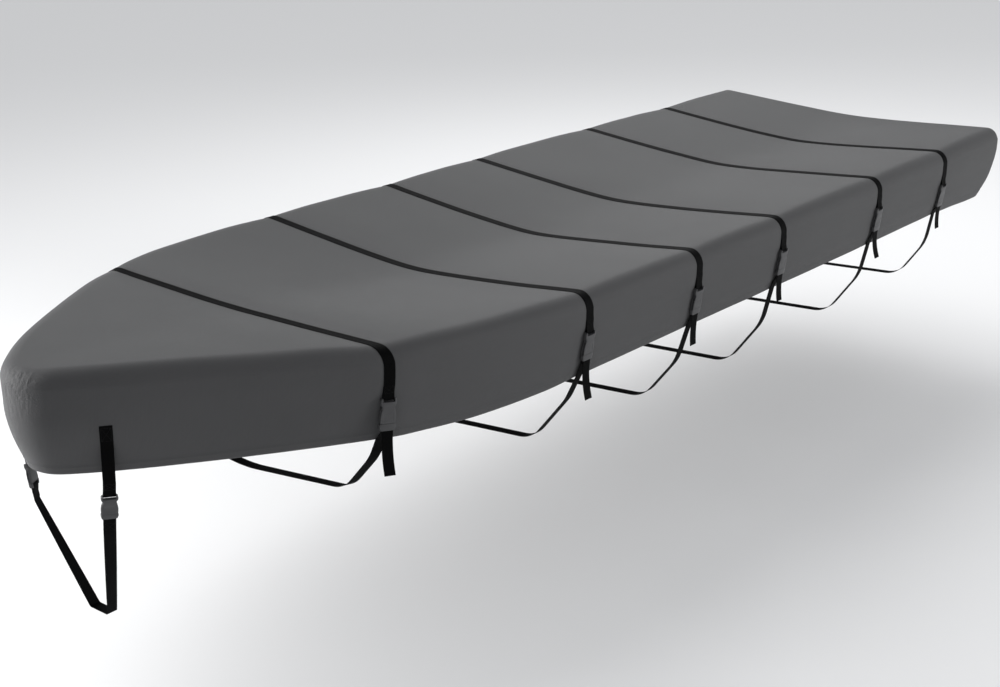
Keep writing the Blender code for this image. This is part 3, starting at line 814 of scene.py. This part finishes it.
def layBand(name, line):
    # a woven band, which follows the cloth where it has a height over it
    acrossSteps = webbing["acrossSteps"]
    offsets = [(k / acrossSteps - 0.5) * webbing["width"] for k in range(acrossSteps + 1)]
    rows = []
    for point, across, lift in line:
        row = [point + across * offset for offset in offsets]
        rows.append([onCloth(p, lift)[0] for p in row] if lift else row)
    middles = [row[acrossSteps // 2] for row in rows]
    alongs = distancesOf(middles)
    wide = acrossSteps + 1
    corners = [i * wide + k for i in range(len(rows) - 1) for k in range(acrossSteps)]
    faces = [(c, c + 1, c + wide + 1, c + wide) for c in corners]
    piece = pieceFromMesh(name, [p for row in rows for p in row], faces, webbingMaterial)
    giveUv(piece, "band", [(along, v) for along in alongs for v in offsets])
    applyModifier(piece, "SOLIDIFY", thickness=webbing["thick"], offset=0, use_even_offset=True)
    softenEdges(piece, webbing["edge"], 1, webbing["bevelFrom"], webbing["smoothTo"])
    print(name, "laid,", round(alongs[-1], 2), "m")
    acrosses = [(row[-1] - row[0]).normalized() for row in rows]
    return piece, middles, acrosses, alongs


def girthStrap(x, barDrop, stand, tail, flare, flank, chine, keelZ):
    over, marks = coverLine(x, webbing["halfStep"])
    barAt = distanceUp(over, marks, x, barDrop)
    point, across = spotOn(over, marks, barAt)
    near = webbing["tangent"]
    up = (spotOn(over, marks, barAt + near)[0] - spotOn(over, marks, barAt - near)[0]).normalized()
    lift = 2 * rest + webbing["hair"]
    spot, normal = onCloth(point, lift + webbing["socketGap"])
    length = buckle["strapSize"][0]
    placed = buckleFrame(spot, across, up * length - normal * stand)
    seam, thick = webbing["seam"], webbing["thick"]
    end = marks[-1]
    # under the socket's bar, round it, and over the top to the starboard hem
    line = onCover(over, marks, [(0, rest), (end, rest)], barAt + seam, barAt + 0.001)
    line += barWrap(placed)
    midway, folded = webbing["heap"]
    heights = [(barAt + 0.003, lift + buckle["bar"] + rest), (barAt + seam / 2, midway * thick),
               (barAt + seam, folded * thick), (barAt + webbing["easeOff"] * seam, rest), (end - seam, rest),
               (end, webbing["clear"] + thick)]
    upper = len(line)
    line += onCover(over, marks, heights, barAt + webbing["wrapStart"], end)
    # under the hull
    hemPoint, hemAcross, hemLift = line[-1]
    hemPoint, _ = onCloth(hemPoint, hemLift)
    halfHull = [hemPoint, Vector((x, *flank)), Vector((x, *chine))]
    hull = halfHull + [Vector((x, 0, keelZ))] + [flip(p) for p in halfHull[::-1]]
    steps = webbing["bendSteps"]
    for p in filled(rounded(hull, webbing["hullRadii"], steps))[1:]:
        turn = clamp(abs(p.y) / flank[0])
        goal = hemAcross if p.y > 0 else flip(hemAcross)
        line.append((p, mix(Vector((1, 0, 0)), goal, turn).normalized(), None))
    # round the plug's crossbar and down as the tail
    line += crossbarWrap(placed, length, webbing["wrapStart"])
    top = line[-1][0]
    turned = placed.to_3x3()
    for t in shares(steps)[1:]:
        line.append((top + turned @ Vector((0, -tail * t, flare * t * t)), axisOf(placed, 0), None))
    return line, placed, upper


bow = {
    "x": -2.331,
    "seamDrop": 0.173,  # from the crest to the band's sewn end
    "seam": 0.060,
    "bar": (-2.322, -0.190, -0.247),
    "foot": (-2.318, -0.174, -0.336),
    "angle": 40,
    "turn": 0.2,  # how far the buckle turns to face out
    "folds": (0.015, 0.020, 0.030),
    "hangSteps": 8,
    "loopSteps": 16,
    "tongueX": -2.243,
    "tongueHalf": 0.042,
    "tongueZ": -0.725,
    "tongueRadius": 0.008,
}


def bowLines():
    over, marks = coverLine(bow["x"], webbing["halfStep"] * math.cos(math.radians(bow["angle"])))
    topAt = distanceUp(over, marks, bow["x"], bow["seamDrop"])
    sewn = onCover(over, marks, [(0, rest), (topAt, rest)], topAt - bow["seam"], topAt)
    bar = Vector(bow["bar"])
    across = mix(sewn[0][1], Vector((1, 0, 0)), bow["turn"])
    placed = buckleFrame(bar, across, bar - Vector(bow["foot"]))
    across = axisOf(placed, 0)
    thick, seam = webbing["thick"], webbing["seam"]
    front = buckle["bar"] + rest
    folded = front - thick - webbing["gap"]

    def free(y, z):
        return placed @ Vector((0, y, z)), across, None

    short, middle, far = bow["folds"]
    line = [free(mix(seam, short, t), folded) for t in shares(3)]
    line += barWrap(placed)
    upper = len(line)
    line += [free(mix(short, seam, t), front) for t in shares(3)]
    leave, _ = onCloth(sewn[0][0], rest)
    start = line[-1][0]
    for t in shares(bow["hangSteps"])[1:-1]:
        line.append((mix(start, leave, t), mix(across, sewn[0][1], t).normalized(), None))
    line += sewn
    # half of the loop, from the plug's crossbar to under the tongue
    length = buckle["bowSize"][0]
    depth = crossbarDepth() + buckle["crossbar"] + rest
    folded = depth - thick - webbing["gap"]
    half = [free(-length - down, folded) for down in (seam, far, middle)]
    half += crossbarWrap(placed, length, webbing["wrapStart"])
    turned = len(half) - 1
    start = placed @ Vector((0, -length - seam - webbing["wrapStart"], depth))
    half.append((start, across, None))
    x, z = bow["tongueX"], bow["tongueZ"]
    turn = rounded([start, Vector((x, -bow["tongueHalf"], z)), Vector((x, 0, z))], (bow["tongueRadius"],), 6)
    for t in shares(bow["loopSteps"])[1:-1]:
        half.append((mix(start, turn[1], t), mix(across, Vector((1, 0, 0)), t).normalized(), None))
    half += [(p, Vector((1, 0, 0)), None) for p in turn[1:-1]]
    loop = half + [(flip(p), flip(w), lift) for p, w, lift in half[::-1]]
    return line, placed, loop, upper, turned


bands = []
seams = []  # name, band, distances along it, which side faces out
placements = {"strapSize": [], "bowSize": []}  # matrix, the two nodes
boxes = {  # where a sewn box starts and ends, from its fold
    "strap": (0.012, 0.036),
    "bowFold": (0.004, 0.024),
    "bowEnd": (0.053, 0.007),
    "loop": (0.014, 0.038),
}


def addSeam(name, band, fold, key, outside, way=1):
    start, end = (band[3][fold] + way * along for along in boxes[key])
    seams.append((name + "_stitching", band, start, end, outside))


for number, row in enumerate(strapTable, start=1):
    name = f"strap_{number}"
    line, placed, upper = girthStrap(*row)
    band = layBand(name + "_band", line)
    bands.append((name, band))
    addSeam(name, band, upper, "strap", 1)
    placements["strapSize"].append((placed, name + "_socket", name + "_plug"))
bowLine, bowPlaced, loopLine, upper, turned = bowLines()
otherLine = [(flip(p), flip(w), lift) for p, w, lift in bowLine]
for side, name, line in ((1, "port", bowLine), (-1, "starboard", otherLine)):
    band = layBand(f"bow_band_{name}", line)
    bands.append((f"bow_strap_{name}", band))
    addSeam(f"bow_{name}_fold", band, upper, "bowFold", side)
    addSeam(f"bow_{name}", band, -1, "bowEnd", side, -1)
loopBand = layBand("bow_loop_band", loopLine)
bands.append(("bow_loop", loopBand))
start, end = (loopBand[3][turned] + along for along in boxes["loop"])
whole = loopBand[3][-1]
seams.append(("bow_loop_stitching_port", loopBand, start, end, -1))
seams.append(("bow_loop_stitching_starboard", loopBand, whole - end, whole - start, -1))
across, up, normal, spot = (flip(axisOf(bowPlaced, i)) for i in range(4))
starboardPlaced = Matrix((-across, up, normal)).transposed().to_4x4()
starboardPlaced.translation = spot
for side, placed in (("port", bowPlaced), ("starboard", starboardPlaced)):
    placements["bowSize"].append((placed, "bow_socket_" + side, "bow_plug_" + side))


# stitching
thread = {
    "stitch": 0.0026,
    "pitch": 0.0034,
    "hemStitch": 0.0040,
    "hemPitch": 0.0052,
    "width": 0.0009,
    "high": 0.0007,
    "inset": 0.0045,  # from the webbing's edge
    "proud": 0.0001,  # the thread's middle over the cloth
}
lensFaces = ((0, 4, 2), (2, 4, 1), (1, 4, 3), (3, 4, 0), (2, 5, 0), (1, 5, 2), (3, 5, 1), (0, 5, 3))


def sew(name, spots, length, material):
    # one small lens of thread for each (point, direction, normal)
    points, faces = [], []
    for point, ahead, normal in spots:
        side = ahead.cross(normal)
        base = len(points)
        for reach in (ahead * length, side * thread["width"], normal * thread["high"]):
            points += [point + reach / 2, point - reach / 2]
        faces += [[base + corner for corner in face] for face in lensFaces]
    piece = pieceFromMesh(name, points, faces, material)
    startEdit(piece)
    turnFacesOut()
    endEdit()
    piece.data.shade_smooth()
    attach(piece, "root")


def alongPolyline(corners, pitch):
    # even spots on a polyline with the direction at each
    spots, carry = [], pitch / 2
    for a, b in zip(corners, corners[1:]):
        span = (b - a).length
        if span < 1e-9:
            continue
        ahead = (b - a) / span
        while carry < span:
            spots.append((a + ahead * carry, ahead))
            carry += pitch
        carry -= span
    return spots


def boxStitch(name, band, start, end, outside):
    # a sewn box with a cross in it, on the band's outer face
    _, middles, acrosses, alongs = band
    half = webbing["width"] / 2 - thread["inset"]
    lift = webbing["thick"] / 2 + thread["proud"]
    near = 0.001

    def onBand(s, v):
        i, share = placeIn(alongs, s)
        across = mix(acrosses[i], acrosses[i + 1], share).normalized()
        out = across.cross(middles[i + 1] - middles[i]).normalized() * outside
        return mix(middles[i], middles[i + 1], share) + across * v + out * lift, out

    runs = [[(start, -half), (end, -half), (end, half), (start, half), (start, -half)],
            [(start, -half), (end, half)], [(start, half), (end, -half)]]
    spots = []
    for run in runs:
        for flat, ahead in alongPolyline([Vector((s, v, 0)) for s, v in run], thread["pitch"]):
            point, out = onBand(flat.x, flat.y)
            further, _ = onBand(flat.x + ahead.x * near, flat.y + ahead.y * near)
            spots.append((point, (further - point).normalized(), out))
    sew(name, spots, thread["stitch"], blackThread)


for seam in seams:
    boxStitch(*seam)

hemSpots = []
for point, ahead in alongPolyline(hemLine + hemLine[:1], thread["hemPitch"]):
    spot, normal = onCloth(point, thread["proud"])
    hemSpots.append((spot, (ahead - normal * ahead.dot(normal)).normalized(), normal))
sew("hem_stitching", hemSpots, thread["hemStitch"], greyThread)
print("stitched:", len(hemSpots), "round the hem")


# cloth thickness
applyModifier(coverPiece, "SOLIDIFY", thickness=cover["cloth"], offset=-1, use_even_offset=True)
coverPiece.data.shade_smooth()
print("cover finished")


# buckles
# places are shares of the buckle's length and half width
mould = {
    "socket": ((0.00, 0.88), (0.03, 0.97), (0.07, 1.00), (0.16, 1.00), (0.21, 0.90), (0.27, 0.77),
               (0.33, 0.82), (0.44, 0.94), (0.56, 1.00), (0.70, 1.00), (0.776, 0.97)),
    "plug": ((0.784, 0.97), (0.82, 1.03), (0.88, 1.03), (0.95, 0.95), (1.00, 0.88)),
    "prong": ((0.39, 0.55, 0.72), (0.46, 0.563, 0.84), (0.58, 0.60, 0.89), (0.74, 0.52, 0.86),
              (0.80, 0.52, 0.85)),
    "tongue": ((0.48, 0.11), (0.50, 0.16), (0.80, 0.16)),
    "root": ((0.74, 0.60), (0.80, 0.60)),
    "slotHalf": 0.0197,
    "slot": 0.0065,
    "mouthEnd": 0.35,
    "floor": 0.0035,
    "ceiling": 0.0095,
    "play": 0.0005,  # between the plug's prongs and the socket
    "pocket": 0.014,
    "crown": 0.0014,  # the front face is this much lower at its edges
    "crownPower": 2.5,
    "crownCuts": (-0.9, -0.72, -0.5, -0.25, 0, 0.25, 0.5, 0.72, 0.9),
    "panel": ((0.44, 0.70), 0.72, 0.0012, 0.0006),  # along, across, border, depth
    "edge": 0.0006,
    "bevelFrom": 32,
    "smoothTo": 38,
    "ribs": 4,  # grips on the outer sides of the prongs
    "ribFirst": 0.50,
    "ribPitch": 0.05,
    "ribAcross": 0.875,
    "ribHalf": (0.0012, 0.0006, 0.0003),
    "past": 0.001,  # a cutter reaches this far past what it cuts
}


def choose(piece, test):
    # in edit mode: select the points that lie where the test says
    bpy.ops.mesh.select_mode(type="VERT")
    bpy.ops.mesh.select_all(action="DESELECT")
    shape = bmesh.from_edit_mesh(piece.data)
    for vertex in shape.verts:
        vertex.select_set(test(vertex.co))
    shape.select_flush(True)
    bmesh.update_edit_mesh(piece.data)


def makeBlock(low, high):
    middle = [(a + b) / 2 for a, b in zip(low, high)]
    bpy.ops.mesh.primitive_cube_add(size=1, location=middle)
    piece = bpy.context.object
    piece.scale = [b - a for a, b in zip(low, high)]
    bpy.ops.object.transform_apply()
    return piece


def makePlate(stations, size, low, high):
    # a block cut across at each station, and drawn out or in there
    length, half = size[0], size[1] / 2
    rows = [row if len(row) == 3 else (row[0], -row[1], row[1]) for row in stations]
    left, right = rows[0][1] * half, rows[0][2] * half
    piece = makeBlock((left, -rows[-1][0] * length, low), (right, -rows[0][0] * length, high))
    startEdit(piece)
    for along, _, _ in rows[1:-1]:
        bpy.ops.mesh.select_all(action="SELECT")
        bpy.ops.mesh.bisect(plane_co=(0, -along * length, 0), plane_no=(0, 1, 0))
    middle = (left + right) / 2
    for along, inner, outer in rows[1:]:
        for side, goal, was in ((-1, inner * half, left), (1, outer * half, right)):
            choose(piece, lambda p: abs(p.y + along * length) < 1e-5 and (p.x - middle) * side > 0)
            bpy.ops.transform.translate(value=(goal - was, 0, 0))
    endEdit()
    return piece


def crownFront(piece, size, high):
    # bring the front face down towards its edges
    half = size[1] / 2
    startEdit(piece)
    for share in mould["crownCuts"]:
        bpy.ops.mesh.select_all(action="SELECT")
        bpy.ops.mesh.bisect(plane_co=(share * half, 0, 0), plane_no=(1, 0, 0))
    shape = bmesh.from_edit_mesh(piece.data)
    places = sorted({round(abs(v.co.x) / half, 3) for v in shape.verts if v.co.z > high - 1e-5})
    for place in places:
        choose(piece, lambda p: p.z > high - 0.0019 and abs(abs(p.x) / half - place) < 6e-4)
        bpy.ops.transform.translate(value=(0, 0, -mould["crown"] * place**mould["crownPower"]))
    endEdit()


def sinkPanel(piece, size):
    # a shallow panel let into the front face
    length, half = size[0], size[1] / 2
    along, across, border, depth = mould["panel"]
    startEdit(piece)
    bpy.ops.mesh.select_mode(type="FACE")
    bpy.ops.mesh.select_all(action="DESELECT")
    shape = bmesh.from_edit_mesh(piece.data)
    for face in shape.faces:
        spot = face.calc_center_median()
        inside = -along[1] * length < spot.y < -along[0] * length and abs(spot.x) < across * half
        face.select_set(inside and face.normal.z > 0.8)
    bmesh.update_edit_mesh(piece.data)
    bpy.ops.mesh.inset(thickness=border, depth=0)
    bpy.ops.transform.translate(value=(0, 0, -depth))
    endEdit()


def carve(piece, tool, operation="DIFFERENCE"):
    applyModifier(piece, "BOOLEAN", object=tool, operation=operation, solver="EXACT")
    bpy.data.objects.remove(tool, do_unlink=True)


def easeEdges(piece, width):
    startEdit(piece)
    bpy.ops.mesh.select_all(action="SELECT")
    bpy.ops.mesh.remove_doubles(threshold=0.00002)
    bpy.ops.mesh.dissolve_limited(angle_limit=math.radians(0.5))
    turnFacesOut()
    endEdit()
    softenEdges(piece, width, 2, mould["bevelFrom"], mould["smoothTo"])


def makeSocket(size):
    thick, length, half = buckle["thick"], size[0], size[1] / 2
    piece = makePlate(mould["socket"], size, 0, thick)
    crownFront(piece, size, thick)
    sinkPanel(piece, size)
    bar, slot, slotHalf = buckle["bar"], mould["slot"], mould["slotHalf"]
    past = mould["past"]
    carve(piece, makeBlock((-slotHalf, -bar - slot, -past), (slotHalf, -bar, thick + past)))
    carve(piece, makeBlock((-slotHalf, -bar - past / 2, bar), (slotHalf, past, thick + past)))
    carve(piece, makeBlock((-2 * half, -length, mould["floor"]),
                           (2 * half, -mould["mouthEnd"] * length, mould["ceiling"])))
    easeEdges(piece, mould["edge"])
    return piece


def makePlug(size):
    thick, length, half = buckle["thick"], size[0], size[1] / 2
    piece = makePlate(mould["plug"], size, 0, thick)
    crownFront(piece, size, thick)
    slotHalf, bar, past = mould["slotHalf"], buckle["crossbar"], mould["past"]
    carve(piece, makeBlock((-slotHalf, -length - past, -past),
                           (slotHalf, -length + mould["pocket"], thick - buckle["face"])))
    low, depth, reach = -length + buckle["crossbarUp"], crossbarDepth(), slotHalf + past
    carve(piece, makeBlock((-reach, low, depth), (reach, low + bar, depth + bar)), "UNION")
    floor, ceiling = mould["floor"] + mould["play"], mould["ceiling"] - mould["play"]
    for part in ("root", "tongue"):
        carve(piece, makePlate(mould[part], size, floor, ceiling), "UNION")
    ribX, ribY, ribInset = mould["ribHalf"]
    for side in (1, -1):
        rows = [(along, *sorted((inner * side, outer * side))) for along, inner, outer in mould["prong"]]
        carve(piece, makePlate(rows, size, floor, ceiling), "UNION")
        for rib in range(mould["ribs"]):
            y = -(mould["ribFirst"] + mould["ribPitch"] * rib) * length
            x = mould["ribAcross"] * half * side
            carve(piece, makeBlock((x - ribX, y - ribY, floor + ribInset),
                                   (x + ribX, y + ribY, ceiling - ribInset)), "UNION")
    easeEdges(piece, mould["edge"] * 0.7)
    return piece


def copyTo(model, name, placed):
    piece = model.copy()
    piece.data = model.data.copy()
    piece.name = piece.data.name = name
    bpy.context.scene.collection.objects.link(piece)
    pick(piece)
    piece.matrix_world = placed
    bpy.ops.object.transform_apply()
    piece.data.materials.clear()
    piece.data.materials.append(plasticMaterial)
    return piece


for sizeKey, places in placements.items():
    models = (makeSocket(buckle[sizeKey]), makePlug(buckle[sizeKey]))
    for placed, *nodes in places:
        for model, node in zip(models, nodes):
            piece = copyTo(model, node + "_moulded", placed)
            standFor(piece, node)
    for model in models:
        bpy.data.objects.remove(model, do_unlink=True)
print("buckles moulded and placed")


# what the pieces are
standFor(coverPiece, "cover")
for node, (piece, _, _, alongs) in bands:
    standFor(piece, node)


# floor, lights and camera
studio = {
    "floorZ": -1.06,
    "floorColour": (0.80, 0.80, 0.803),
    "world": (0.95, 0.97, 1.0),
    "worldStrength": 0.42,
    "skySoftness": 60,  # degrees across the overhead light
    "skyStrength": 1.28,
    "skyFrom": (-0.10, 0.66, 0.75),
    # name, place, aim, size, watts
    "panels": (
        ("stern_panel", (4.5, 2.5, 3.5), (2.0, 0.0, 0.0), (3.0, 3.0), 100),
        ("side_panel", (6.0, -10.0, 3.0), (-0.3, -0.7, 0.0), (4.0, 3.0), 700),
        ("bow_panel", (-5.0, 4.4, 1.0), (-2.4, 0.0, 0.0), (1.4, 1.2), 430),
    ),
    "cameraSpot": (-5.10049, -3.95796, 1.88252),
    "cameraTurn": (69.8343, 0.3601, -50.7454),  # degrees
    "lens": 61.303,
}
bpy.ops.mesh.primitive_plane_add(size=90, location=(12, 8, studio["floorZ"]))
floor = bpy.context.object
floor.name = "studio_floor"
floorMaterial, _ = plainShader("floor_pale", studio["floorColour"], 0.9, 0.1)
floor.data.materials.append(floorMaterial)


def addLight(name, kind, spot, direction, power):
    bpy.ops.object.light_add(type=kind, location=spot)
    light = bpy.context.object
    light.name = name
    light.data.energy = power
    light.rotation_euler = direction.to_track_quat("-Z", "Y").to_euler()
    return light.data


sky = addLight("overhead_soft", "SUN", (0, 0, 6), -Vector(studio["skyFrom"]), studio["skyStrength"])
sky.angle = math.radians(studio["skySoftness"])
for name, spot, aim, size, power in studio["panels"]:
    panel = addLight(name, "AREA", spot, Vector(aim) - Vector(spot), power)
    panel.shape = "RECTANGLE"
    panel.size, panel.size_y = size

turns = [math.radians(turn) for turn in studio["cameraTurn"]]
bpy.ops.object.camera_add(location=studio["cameraSpot"], rotation=turns)
camera = bpy.context.object
camera.name = "studio_camera"
camera.data.lens = studio["lens"]
camera.data.clip_end = 300.0
bpy.context.scene.camera = camera

world = bpy.data.worlds.new("studio_world")
bpy.context.scene.world = world
world.use_nodes = True
background = world.node_tree.nodes["Background"]
background.inputs["Color"].default_value = (*studio["world"], 1.0)
background.inputs["Strength"].default_value = studio["worldStrength"]
bpy.context.scene.view_settings.view_transform = "Standard"
print("studio set")
